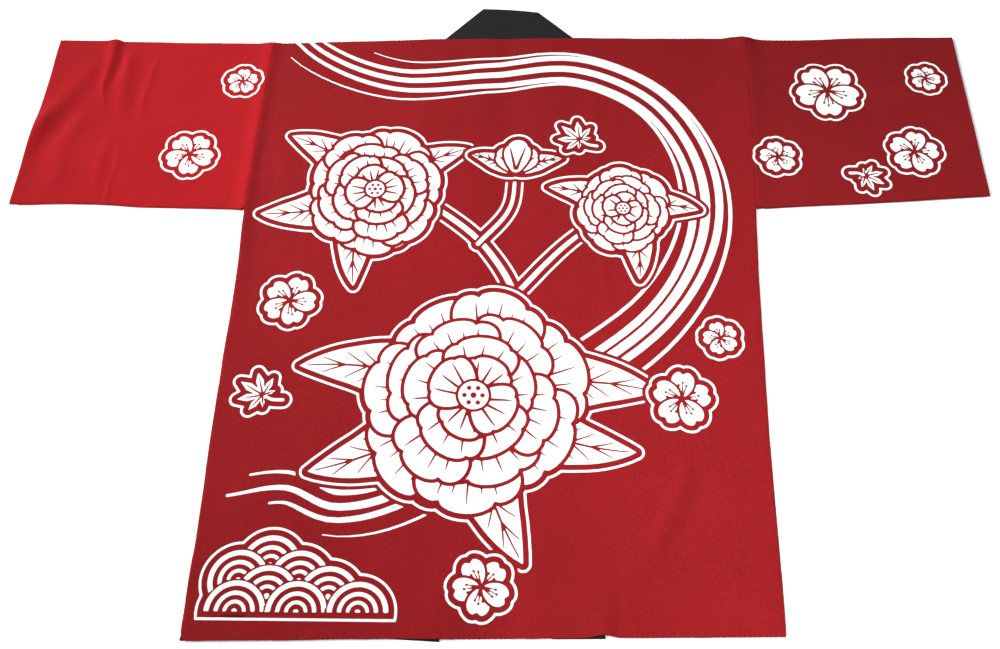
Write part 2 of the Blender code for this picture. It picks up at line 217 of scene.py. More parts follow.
def laid_corner(name, side):
    """Where a named corner lies; side is -1 on the left and 1 on the right."""
    half_width, y, left_dx, left_dy, right_dx, right_dy = LAID_CORNERS[name]
    dx, dy = (left_dx, left_dy) if side < 0 else (right_dx, right_dy)
    return np.array([side * half_width + dx * MM, y + dy * MM])


def outline_middle():
    """The middle of the coat's outline, which is the frame's origin."""
    left, right = laid_corner("cuff_bottom", -1), laid_corner("cuff_bottom", 1)
    lowest, highest = laid_corner("hem", -1), laid_corner("collar_top", -1)
    return np.array([left[0] + right[0], lowest[1] + highest[1]]) / 2


def mound(x_mm, y_mm, centre_x, centre_y, half_width, half_depth):
    """A flat-topped mound: 1 at its centre and 0 well past its half sizes."""
    across = np.abs((x_mm - centre_x) / half_width) ** MOUND_EDGE_POWER
    down = np.abs((y_mm - centre_y) / half_depth) ** MOUND_EDGE_POWER
    return np.exp(-across - down)


def bowed(points):
    """Points from straight-edged plan places to where the spread cloth lies."""
    x_mm, y_mm = points[..., 0] / MM, points[..., 1] / MM
    shifts = np.zeros_like(points)
    for _, centre_x, centre_y, half_width, half_depth, shift_x, shift_y in EDGE_BOWS:
        share = mound(x_mm, y_mm, centre_x, centre_y, half_width, half_depth)
        shifts[..., 0] += shift_x * MM * share
        shifts[..., 1] += shift_y * MM * share
    return points + shifts


def to_frame(points):
    """Points from plan places to the frame's."""
    return bowed(points) - np.array([*outline_middle(), 0.0])


def smooth_step(value):
    clipped = np.clip(value, 0.0, 1.0)
    return clipped * clipped * (3.0 - 2.0 * clipped)


def edge_line(names, side):
    """A side's x at y, through named corners from the top down."""
    x, y = zip(*(laid_corner(name, side) for name in reversed(names)))
    return lambda place: np.interp(place, y, x)


def end_line(*corners):
    """A top's or bottom's y at x, through corners as (name, side)."""
    x, y = zip(*sorted(tuple(laid_corner(name, side)) for name, side in corners))
    return lambda place: np.interp(place, x, y)


def moved(line, shift):
    return lambda place: line(place) + shift


BAND_SEAM = {side: edge_line(("neck", "band_seam"), side) for side in SIDES}
BAND_FREE = {side: edge_line(("collar_top", "band_free"), side) for side in SIDES}
BACK_HEM = end_line(("hem", -1), ("hem", 1))


def nearest_on_segment(x, y, start, end):
    """How far along a segment each place is nearest to it, 0 to 1, and how far it is from there."""
    run = end - start
    part = np.clip(((x - start[0]) * run[0] + (y - start[1]) * run[1]) / max(run @ run, 1e-9), 0, 1)
    return part, np.hypot(x - start[0] - part * run[0], y - start[1] - part * run[1])


def relief(x, y):
    """How far the upper layer stands off what is under it, from its loose places, creases and waves."""
    x_mm, y_mm = x / MM, y / MM
    height = np.zeros(np.broadcast(x, y).shape)
    for _, centre_x, centre_y, half_width, half_depth, loft in LOOSE_PLACES:
        height += loft * mound(x_mm, y_mm, centre_x, centre_y, half_width, half_depth)
    for _, crest in CREASES:
        tallest = np.zeros(height.shape)
        for start, end in zip(crest, crest[1:]):
            part, away = nearest_on_segment(x_mm, y_mm, np.array(start[:2]), np.array(end[:2]))
            rise, half_width = (start[i] + (end[i] - start[i]) * part for i in (2, 3))
            rise = rise * np.exp(-((away / half_width) ** 2))
            tallest = np.where(np.abs(rise) > np.abs(tallest), rise, tallest)
        height += tallest
    for length_x, length_y, phase, wave_height in HAND_WAVES:
        turn = 2 * math.pi * (x_mm / length_x + y_mm / length_y) + phase
        height += wave_height * (1.0 + np.sin(turn)) / 2
    return np.maximum(height, 0.0) * MM


def layer_floor(x, y):
    """What the upper layer lies on: the fronts, the bands, and almost the floor between the bands."""
    over_bands = 1.0
    for side in SIDES:
        beside_band = side * (x - BAND_SEAM[side](y))
        over_bands = over_bands * (1.0 - smooth_step((beside_band - EASE_MARGIN) / EASE_RUN))
    height = PANEL_WALL + LAYER_GAP + (BAND_WALL - PANEL_WALL) * over_bands
    past_left = (x - BAND_FREE[-1](y) - SAG_MARGIN) / SAG_RUN
    past_right = (BAND_FREE[1](y) - SAG_MARGIN - x) / SAG_RUN
    sag = np.minimum(smooth_step(past_left), smooth_step(past_right))
    return height + (FLOOR_CLEARANCE - height) * sag


def top_height(x, y):
    """The height of the coat's upper surface."""
    return layer_floor(x, y) + PANEL_WALL + relief(x, y)


def hem_draw(x):
    """How far the back's hem draws back where it is lifted."""
    return HEM_LIFT_DEPTH * np.exp(-(((x - HEM_LIFT_X) / HEM_LIFT_HALF) ** 2))


# The print, in mm. A shape's signed distance is below 0 inside it. Each group of shapes clears a strip round
# itself, and runs a thin white line in that strip
RASTER = 1.25
FAR = 60.0
PARTING_LINE = 4.6
FINE_PARTING_LINE = 3.4
RING_OFFSET = 8.2
RING_HALF = 1.5
CLEARED_STRIP = 14.0
WINDOW_MARGIN = CLEARED_STRIP + 3.0
PRINT_LEFT, PRINT_RIGHT, PRINT_BOTTOM, PRINT_TOP = -672, 672, -862, 24

# Sizes in the print, in mm, with widths as (at the start, at the end)
LARGE_FLOWER = 70
SMALL_BLOSSOM = 30
MIDRIB_WIDTHS = (6.0, 1.5)
LEAF_VEIN_WIDTHS = (2.6, 1.2)
STALK_WIDTHS = (3.4, 4.6)
WAVE_RIM = 2.0
WAVES_DEPTH = 160

# Forms in the print, as shares of each shape's own size, and how many steps and parts they have
PETAL_STEPS = 72
RUFFLE = 0.075
PETAL_WIDENING = 0.28
PETAL_VEIN_START, PETAL_VEIN_END, PETAL_VEIN_SPREAD = 0.12, 0.93, 0.62
HEART_RADIUS, HEART_RING, HEART_DOTS, HEART_STEPS = 0.135, 0.08, 6, 36
PEONY_RINGS = (
    # petals, inner, outer, half width, lobes, veins
    (7, 0.22, 1.00, 0.43, 3, 5),
    (6, 0.14, 0.79, 0.37, 3, 4),
    (5, 0.06, 0.58, 0.30, 2, 3),
    (4, 0.00, 0.39, 0.22, 2, 3),
)
LEAF_STEPS = 24
LEAF_VEINS_FROM, LEAF_VEINS_TO, LEAF_VEIN_RUN, LEAF_VEIN_REACH = 8, 18, 3, 0.76
BLOSSOM_PETALS, BLOSSOM_STEPS = 5, 60
# angle in degrees and reach of each lobe, and one lobe's outline as along, across
MAPLE_LOBES = ((-127, 0.48), (-84, 0.74), (-42, 0.92), (0, 1.0), (42, 0.92), (84, 0.74), (127, 0.48))
MAPLE_LOBE_WIDTH = 0.155
MAPLE_LOBE = (
    (0.34, -0.75), (0.62, -1.0), (0.80, -0.52), (1.0, 0.0), (0.80, 0.52), (0.62, 1.0), (0.34, 0.75),
)
MAPLE_STALK = ((0.1, 0.0), (0.4, 0.1), (0.75, 0.3))
BUD_PETALS = ((-0.55, 0.95), (0.55, 0.95), (0.0, 1.15))
# middle and half width of each arc in a wave scale, and how much of a scale shows above the next row
WAVE_ARCS = ((0.915, 0.085), (0.60, 0.07), (0.32, 0.06), (0.0, 0.10))
WAVE_SHOWING = 0.6


def unit(angle):
    return np.array([math.cos(angle), math.sin(angle)])


def round_turn(count, start=0.0):
    """Even angles all the way round."""
    return np.linspace(start, start + 2 * math.pi, count + 1)[:-1]


def tapered(path, start_width, end_width):
    """A path with its widths, which change evenly along it."""
    return path, np.linspace(start_width, end_width, len(path))


def smooth_path(points, steps):
    """A smooth line through a few points."""
    points = np.array(points, float)
    points = np.vstack([2 * points[0] - points[1], points, 2 * points[-1] - points[-2]])
    path = []
    for before, start, end, after in zip(points, points[1:], points[2:], points[3:]):
        for t in np.arange(steps) / steps:
            square, cube = t**2, t**3
            path.append(0.5 * (2 * start + (end - before) * t
                               + (2 * before - 5 * start + 4 * end - after) * square
                               + (3 * start - before - 3 * end + after) * cube))
    return np.array([*path, points[-2]])


def side_direction(path):
    """The direction across a line at each of its points."""
    run = np.gradient(path, axis=0)
    run /= np.linalg.norm(run, axis=1)[:, None]
    return np.stack([-run[:, 1], run[:, 0]], axis=1)


def stroke_distance(x, y, path, widths):
    """Signed distance from a brush stroke along a path, whose width changes on the way."""
    nearest = np.full(x.shape, np.inf)
    for start, end, width, next_width in zip(path, path[1:], widths, widths[1:]):
        part, away = nearest_on_segment(x, y, start, end)
        nearest = np.minimum(nearest, away - (width + (next_width - width) * part) / 2)
    return nearest


def is_inside(x, y, corners):
    """Which places lie inside a closed outline, from how often a line to their right crosses it."""
    inside = np.zeros(x.shape, bool)
    for (x0, y0), (x1, y1) in zip(corners, np.roll(corners, -1, axis=0)):
        if y0 != y1:
            inside ^= ((y0 > y) != (y1 > y)) & (x < x0 + (x1 - x0) * (y - y0) / (y1 - y0))
    return inside


def outline_distance(x, y, corners):
    """Signed distance from a closed outline."""
    nearest = stroke_distance(x, y, np.vstack([corners, corners[:1]]), np.zeros(len(corners) + 1))
    return np.where(is_inside(x, y, corners), -nearest, nearest)


class Print:
    """The white of the print as one field of signed distances, filled group by group."""

    def __init__(self):
        self.x = np.arange(PRINT_LEFT, PRINT_RIGHT + RASTER, RASTER)
        self.y = np.arange(PRINT_BOTTOM, PRINT_TOP + RASTER, RASTER)
        size = len(self.y), len(self.x)
        self.field, self.white, self.extent = (np.full(size, FAR) for _ in range(3))

    def window(self, points):
        """The part of the raster round some points: its slices and places."""
        low, high = np.min(points, axis=0) - WINDOW_MARGIN, np.max(points, axis=0) + WINDOW_MARGIN
        columns = slice(*np.searchsorted(self.x, [low[0], high[0]]))
        rows = slice(*np.searchsorted(self.y, [low[1], high[1]]))
        return (rows, columns), *np.meshgrid(self.x[columns], self.y[rows])

    def add(self, at, white, extent, gap):
        """Lay a shape over the group, with a parting line of width gap round it."""
        self.white[at] = np.minimum(np.maximum(self.white[at], gap - extent), white)
        self.extent[at] = np.minimum(self.extent[at], extent)

    def shape(self, corners, lines=(), dots=(), gap=PARTING_LINE):
        """A white shape with fine lines and dots left red in it."""
        at, x, y = self.window(corners)
        extent = outline_distance(x, y, corners)
        white = extent
        for path, widths in lines:
            white = np.maximum(white, -stroke_distance(x, y, np.array(path), widths))
        for centre, radius in dots:
            white = np.maximum(white, radius - np.hypot(x - centre[0], y - centre[1]))
        self.add(at, white, extent, gap)

    def stroke(self, path, widths, gap=0.0):
        at, x, y = self.window(path)
        extent = stroke_distance(x, y, path, widths)
        self.add(at, extent, extent, gap)

    def end_group(self, ring=True):
        """Lay the finished group over what is there already."""
        self.field = np.minimum(np.maximum(self.field, CLEARED_STRIP - self.extent), self.white)
        if ring:
            self.field = np.minimum(self.field, np.abs(self.extent - RING_OFFSET) - RING_HALF)
        self.white, self.extent = (np.full(self.field.shape, FAR) for _ in range(2))


def petal(cloth, centre, angle, inner, outer, half_width, lobes, lean, veins, gap):
    """One ruffled petal with veins, from inner to outer distance from the flower's centre."""
    along, across = unit(angle), unit(angle + math.pi / 2)
    half_length = (outer - inner) / 2
    corners = []
    for turn in round_turn(PETAL_STEPS, -math.pi):
        ruffle = 2.2 * abs(math.cos(lobes * turn)) ** 0.55 - 1.4
        scale = 1.0 + RUFFLE * max(math.cos(turn / 2), 0.0) ** 1.5 * ruffle
        reach = inner + half_length * (1.0 + math.cos(turn) * scale)
        bulge = math.sin(turn) * (1.0 + PETAL_WIDENING * math.cos(turn))
        sideways = bulge * scale + lean * (reach / outer) ** 2
        corners.append(centre + along * reach + across * sideways * half_width)
    lines = []
    parts = np.linspace(0, 1, 9)
    spread = np.sin((0.25 + 0.75 * parts) * math.pi / 2) * (0.35 + 0.65 * parts)
    for i, side in enumerate(np.linspace(-1, 1, veins)):
        start = inner + (outer - inner) * PETAL_VEIN_START
        end = inner + (outer - inner) * (PETAL_VEIN_END - 0.09 * abs(side) - 0.05 * (i % 2))
        reach = start + (end - start) * parts
        sideways = side * PETAL_VEIN_SPREAD * spread + lean * (reach / outer) ** 2
        path = centre + reach[:, None] * along + (sideways * half_width)[:, None] * across
        lines.append((path, 3.2 * (1 - parts) ** 0.5 + 0.9))
    cloth.shape(np.array(corners), lines, gap=gap)


def peony(cloth, centre, radius, turn):
    """A full-blown flower: rings of petals laid over each other, each a little uneven, and a round heart."""
    large = radius > LARGE_FLOWER
    gap = PARTING_LINE if large else FINE_PARTING_LINE
    for ring, (count, inner, outer, half_width, lobes, veins) in enumerate(PEONY_RINGS):
        for i in [*range(0, count, 2), *range(1, count, 2)]:
            angle = turn + 2 * math.pi * (i + 0.5 * (ring % 2)) / count + 0.10 * math.sin(2.3 * i + ring)
            reach = outer * radius * (1.0 + 0.06 * math.sin(1.7 * i + 2.1 * ring + turn))
            width = half_width * radius * (1.0 + 0.07 * math.cos(2.9 * i + ring))
            lean = 0.16 * math.sin(1.9 * i + ring + turn)
            petal(cloth, centre, angle, inner * radius, reach, width, lobes, lean, veins if large else 2, gap)
    heart = centre + np.array([0.0, 0.02 * radius])
    disc = heart + HEART_RADIUS * radius * np.array([unit(angle) for angle in round_turn(HEART_STEPS)])
    dots = [(heart, 0.028 * radius)]
    for i in range(HEART_DOTS):
        place = heart + unit(2 * math.pi * i / HEART_DOTS) * HEART_RING * radius
        dots.append((place, 0.017 * radius + 0.6))
    cloth.shape(disc, dots=dots, gap=FINE_PARTING_LINE)


def leaf(cloth, base, angle, length, width, bend, veins):
    """A pointed leaf with a bent spine and veins to both sides."""
    parts = np.linspace(0, 1, LEAF_STEPS + 1)
    spine = np.array([base + unit(angle + bend * (t - 0.3)) * length * t for t in parts])
    across = side_direction(spine)
    half = width / 2 * np.sin(math.pi * parts**0.8) ** 0.85 * (1 + 0.05 * np.abs(np.sin(9 * parts)))
    left, right = spine + across * half[:, None], spine - across * half[:, None]
    along = np.stack([across[:, 1], -across[:, 0]], axis=1)
    lines = [tapered(spine[1:-1], *MIDRIB_WIDTHS)]
    for start in np.linspace(LEAF_VEINS_FROM, LEAF_VEINS_TO, veins + 1).astype(int):
        end = start + LEAF_VEIN_RUN
        for edge in (left, right):
            tip = spine[end] + (edge[end] - spine[end]) * LEAF_VEIN_REACH
            middle = spine[start] * 0.45 + tip * 0.55 + along[start]
            lines.append(tapered(smooth_path([spine[start], middle, tip], 4), *LEAF_VEIN_WIDTHS))
    cloth.shape(np.vstack([left, right[-2:0:-1]]), lines)


def blossom(cloth, centre, radius, turn):
    """A five-petalled blossom: each petal notched at its end, with three stamens."""
    for angle in turn + 2 * math.pi * np.arange(BLOSSOM_PETALS) / BLOSSOM_PETALS:
        along, across = unit(angle), unit(angle + math.pi / 2)
        corners = []
        for t in round_turn(BLOSSOM_STEPS, -math.pi):
            notch = 1.0 - 0.26 * math.exp(-((t / 0.22) ** 2))
            reach = 0.55 + 0.47 * math.cos(t) * notch
            sideways = 0.39 * math.sin(t) * (1.0 + 0.22 * math.cos(t))
            corners.append(centre + radius * (along * reach + across * sideways))
        lines, dots = [], []
        for side in (-1, 0, 1):
            reaches = (0.1, 0.35, 0.6 - 0.1 * abs(side))
            path = [centre + radius * (along * reach + across * side * 0.27 * reach) for reach in reaches]
            lines.append((path, [0.045 * radius + 0.7, 0.035 * radius + 0.5, 1.0]))
            dots.append((path[-1], 0.03 * radius + 0.6))
        cloth.shape(np.array(corners), lines, dots, gap=2.2 if radius < SMALL_BLOSSOM else 3.0)
    cloth.end_group()


def maple_leaf(cloth, centre, radius, turn):
    """A seven-lobed leaf with its stalk."""
    corners, lines = [], []
    for degrees, reach in MAPLE_LOBES:
        angle = turn + math.radians(degrees)
        along = unit(angle) * reach * radius
        across = unit(angle + math.pi / 2) * MAPLE_LOBE_WIDTH * reach * radius
        corners += [centre + along * u + across * v for u, v in MAPLE_LOBE]
        lines.append(([centre + along * u for u in (0.0, 0.4, 0.78)], [2.6, 1.9, 1.0]))
    cloth.shape(np.array(corners), lines, gap=FINE_PARTING_LINE)
    stalk = [centre + unit(turn + math.pi + bend) * radius * reach for reach, bend in MAPLE_STALK]
    cloth.stroke(*tapered(smooth_path(stalk, 6), *STALK_WIDTHS))
    cloth.end_group()


def bud(cloth, centre, angle, radius):
    """A closed flower: three petals wrapped round each other."""
    for turn, length in BUD_PETALS:
        inner, outer, half_width = -0.15 * radius, length * radius, 0.42 * radius
        petal(cloth, centre, angle + turn, inner, outer, half_width, 2, 0.0, 2, FINE_PARTING_LINE)


def stream(cloth, points, strands):
    """Flowing water: several strands side by side along one line, each thinning out at its ends."""
    path = smooth_path(points, 14)
    across = side_direction(path)
    share = np.linspace(0, 1, len(path))
    for offset, width, start, end, wander in strands:
        keep = (share >= start) & (share <= end)
        sideways = offset + wander * np.sin(9 * share + offset)
        local = np.clip((share[keep] - start) / (end - start), 0, 1)
        thinned = width * np.clip(np.sin(math.pi * local) ** 0.45, 0.3, 1)
        strand = path[keep] + across[keep] * sideways[keep][:, None]
        cloth.stroke(strand[::2], thinned[::2])
    cloth.end_group(ring=False)


def wave_scales(cloth, left, right, bottom, radius, crest):
    """Rows of overlapping scales of arcs, which stand for the sea, from a straight foot to a crest line."""
    at, x, y = cloth.window(np.array([[left - radius, bottom], [right + radius, bottom + WAVES_DEPTH]]))
    white, extent = np.full(x.shape, FAR), np.full(x.shape, FAR)
    for row in reversed(range(int(WAVES_DEPTH / (radius / 2)))):
        centre_y = bottom + row * radius / 2
        for centre_x in np.arange(left + radius * (row % 2), right + radius, 2 * radius):
            if centre_y + radius * WAVE_SHOWING < crest(centre_x):
                away = np.hypot(x - centre_x, y - centre_y)
                arcs = [np.abs(away - middle * radius) - half * radius for middle, half in WAVE_ARCS]
                white = np.where(away < radius + WAVE_RIM, np.min(arcs, axis=0), white)
                extent = np.minimum(extent, away - radius)
    below = bottom - y
    cloth.add(at, np.maximum(white, below), np.maximum(extent, below), 0.0)
    cloth.end_group()


def draw_print():
    """Peonies on a branch, with a stream, waves, blossoms and leaves."""
    cloth = Print()
    strands = (
        # offset, width, start, end, wander
        (-33, 5, 0.06, 0.90, 6),
        (-17, 10, 0.0, 0.97, 3),
        (0, 12, 0.0, 1.0, 0),
        (17, 10, 0.02, 0.95, 3),
        (33, 5, 0.12, 0.86, 6),
    )
    course = [
        (-330, 60), (-262, -24), (-150, -74), (-20, -66), (100, -56), (205, -110), (262, -215),
        (262, -335), (198, -450), (60, -560), (-90, -668), (-180, -698), (-245, -676), (-312, -686),
    ]
    stream(cloth, course, strands)

    def crest(x):
        return -736 - 0.004 * (x + 236) ** 2

    wave_scales(cloth, left=-286, right=-100, bottom=-817, radius=34, crest=crest)

    branches = (
        # points, width at the start, width at the end
        ([(-20, -540), (20, -440), (-20, -350), (-100, -280), (-165, -240)], 9.0, 6.5),
        ([(10, -430), (80, -350), (150, -290)], 7.0, 5.5),
        ([(-30, -345), (10, -290), (18, -226)], 6.0, 4.5),
    )
    for points, start_width, end_width in branches:
        cloth.stroke(*tapered(smooth_path(points, 8), start_width, end_width), FINE_PARTING_LINE)
    cloth.end_group()

    flowers = (
        # centre, radius, turn, leaves' veins, leaves as (angle, length, width, bend)
        ((-30, -560), 136, 0.3, 4, (
            (2.75, 218, 70, 0.3), (0.25, 222, 72, -0.3), (-0.55, 205, 66, 0.3), (-2.5, 214, 70, -0.25),
            (-1.45, 210, 68, 0.25))),
        ((-170, -262), 92, 1.1, 4, (
            (2.3, 150, 50, 0.3), (3.6, 155, 52, -0.3), (-1.9, 148, 48, 0.3), (0.65, 140, 46, -0.2))),
        ((160, -290), 62, 0.6, 3, ((2.6, 104, 36, 0.3), (0.2, 100, 36, -0.3), (-1.2, 108, 38, -0.3))),
    )
    for centre, radius, turn, veins, leaves in flowers:
        for angle, length, width, bend in leaves:
            leaf(cloth, centre, angle, length, width, bend, veins)
        peony(cloth, centre, radius, turn)
        cloth.end_group()

    for angle, bend in ((2.5, 0.3), (0.55, -0.3)):
        leaf(cloth, (18, -232), angle, length=66, width=25, bend=bend, veins=3)
    bud(cloth, (18, -226), angle=1.5, radius=40)
    cloth.end_group()

    small_shapes = (
        # x, y, radius, turn
        (blossom, (
            (452, -92, 44, 0.9), (556, -196, 33, 0.1), (372, -205, 25, 0.5), (592, -70, 21, 1.2),
            (-428, -205, 33, 1.0), (-268, -430, 34, 1.2), (222, -560, 36, 0.2), (-15, -786, 32, 0.8),
            (-372, -78, 22, 0.3), (276, -478, 22, 0.6))),
        (maple_leaf, ((105, -178, 34, 2.4), (-285, -560, 34, 2.6), (485, -235, 27, -0.5))),
    )
    for draw, places in small_shapes:
        for x, y, radius, turn in places:
            draw(cloth, (x, y), radius, turn)
    cloth.lines = contours(cloth)
    return cloth


# The print's edges, in mm. OFF_ZERO keeps them off the raster's own points, and a line whose two ends are
# less than CLOSED_LENGTH apart is a closed one. They run on past a panel's outline by LINES_MARGIN
OFF_ZERO = 1e-6
CLOSED_LENGTH = 1e-6
CONTOUR_TOLERANCE = 0.14
LINES_MARGIN = 2.0
MERGE_DISTANCE = 1e-5


def field_at(cloth, points):
    """The print's signed distance at plan places in mm, or FAR outside the raster."""
    column = (points[:, 0] - PRINT_LEFT) / RASTER
    row = (points[:, 1] - PRINT_BOTTOM) / RASTER
    rows, columns = cloth.field.shape
    inside = (column >= 0) & (row >= 0) & (column < columns - 1) & (row < rows - 1)
    i, j = np.where(inside, row, 0).astype(int), np.where(inside, column, 0).astype(int)
    down, along = np.where(inside, row - i, 0), np.where(inside, column - j, 0)
    field = cloth.field
    near = field[i, j] * (1 - along) + field[i, j + 1] * along
    far = field[i + 1, j] * (1 - along) + field[i + 1, j + 1] * along
    return np.where(inside, near * (1 - down) + far * down, FAR)


def contours(cloth):
    """The print's edges as lines of points in mm, from crossings on the raster's edges."""
    field = cloth.field + OFF_ZERO
    rows, columns = field.shape
    white = field < 0
    place = {}
    for kind, (up, along) in enumerate(((0, 1), (1, 0))):
        for i, j in np.argwhere(white[:rows - up, :columns - along] != white[up:, along:]):
            share = field[i, j] / (field[i, j] - field[i + up, j + along])
            place[(kind, i, j)] = (cloth.x[j] + along * share * RASTER, cloth.y[i] + up * share * RASTER)
    links = {key: [] for key in place}
    code = white[:-1, :-1] + 2 * white[:-1, 1:] + 4 * white[1:, 1:] + 8 * white[1:, :-1]
    for i, j in np.argwhere((code > 0) & (code < 15)):
        south, north, west, east = (0, i, j), (0, i + 1, j), (1, i, j), (1, i, j + 1)
        corner = int(code[i, j])
        if corner in (5, 10):
            centre_white = field[i:i + 2, j:j + 2].mean() < 0
            joined_west_south = (corner == 10) == centre_white
            pairs = ((west, south), (north, east)) if joined_west_south else ((west, north), (south, east))
        else:
            present = [edge for edge in (south, east, north, west) if edge in place]
            pairs = ((present[0], present[1]),)
        for start, end in pairs:
            links[start].append(end)
            links[end].append(start)
    lines = []
    unused = set(place)
    ends_first = [key for key in place if len(links[key]) == 1] + list(place)
    for key in ends_first:
        if key not in unused:
            continue
        line = [key]
        unused.discard(key)
        while True:
            following = [other for other in links[line[-1]] if other in unused]
            if not following:
                break
            line.append(following[0])
            unused.discard(following[0])
        if len(line) > 2 and line[0] in links[line[-1]]:
            line.append(line[0])
        if len(line) > 3:
            lines.append(simplified(np.array([place[edge] for edge in line])))
    return lines


def simplified(line):
    """The same line with only the points that keep it within CONTOUR_TOLERANCE."""
    keep = np.zeros(len(line), bool)
    keep[[0, -1]] = True
    stretches = [(0, len(line) - 1)]
    while stretches:
        first, last = stretches.pop()
        if last - first < 2:
            continue
        run = line[last] - line[first]
        offset = line[first + 1:last] - line[first]
        length = math.hypot(*run)
        if length > CLOSED_LENGTH:
            away = np.abs(run[0] * offset[:, 1] - run[1] * offset[:, 0]) / length
        else:
            away = np.hypot(offset[:, 0], offset[:, 1])
        middle = first + 1 + int(away.argmax())
        if away.max() > CONTOUR_TOLERANCE:
            keep[middle] = True
            stretches += [(first, middle), (middle, last)]
    return line[keep]


def triangulated(outline, lines, points):
    """Triangles all over an outline, in mm, with the lines as edges: their places and corners."""
    low, high = outline.min(axis=0) - LINES_MARGIN, outline.max(axis=0) + LINES_MARGIN
    places = [outline]
    count = len(outline)
    edges = [(i, (i + 1) % count) for i in range(count)]
    for line in lines:
        near = np.all((line > low) & (line < high), axis=1)
        if near.any():
            edges += [(count + i, count + i + 1) for i in range(len(line) - 1) if near[i] or near[i + 1]]
            places.append(line)
            count += len(line)
    places.append(points[is_inside(*points.T, outline)])
    flat = [Vector(place) for place in np.vstack(places).tolist()]
    made, _, triangles, *_ = delaunay_2d_cdt(flat, edges, [], 0, MERGE_DISTANCE, False)
    made = np.array(made)
    triangles = np.array(triangles)
    triangles = triangles[is_inside(*made[triangles].mean(axis=1).T, outline)]
    used, corners = np.unique(triangles, return_inverse=True)
    return made[used], corners.reshape(-1, 3)


def fixed(value):
    """A function of place that has one value everywhere."""
    return lambda place: np.full(np.shape(place), float(value))


def either(test, value, other):
    """A function of place with one value where the test holds, and another elsewhere."""
    return lambda place: np.where(test(place), value, other)


class Edge:
    """One side of a panel: its line, and the radius, angle and underlap of the cloth that turns over there.

    Each is a number or a function of the place along the side.
    """

    def __init__(self, line, radius, angle=HEM_TURN, underlap=0.0):
        self.line = line
        self.radius, self.angle, self.underlap = (
            value if callable(value) else fixed(value) for value in (radius, angle, underlap)
        )

    def radius_at(self, along, height):
        return np.minimum(self.radius(along), height / 2)

    def reach(self, along, height):
        """How far the cloth goes on past the line, laid flat."""
        return self.radius_at(along, height) * self.angle(along) + self.underlap(along)

    def turned(self, past, along, height):
        """The angle, the way out and the way down of cloth that is past the line by so much."""
        radius = self.radius_at(along, height)
        angle = np.minimum(past / radius, math.pi)
        out = radius * np.sin(angle) - np.maximum(past - math.pi * radius, 0.0)
        return angle, out, radius * (1.0 - np.cos(angle))


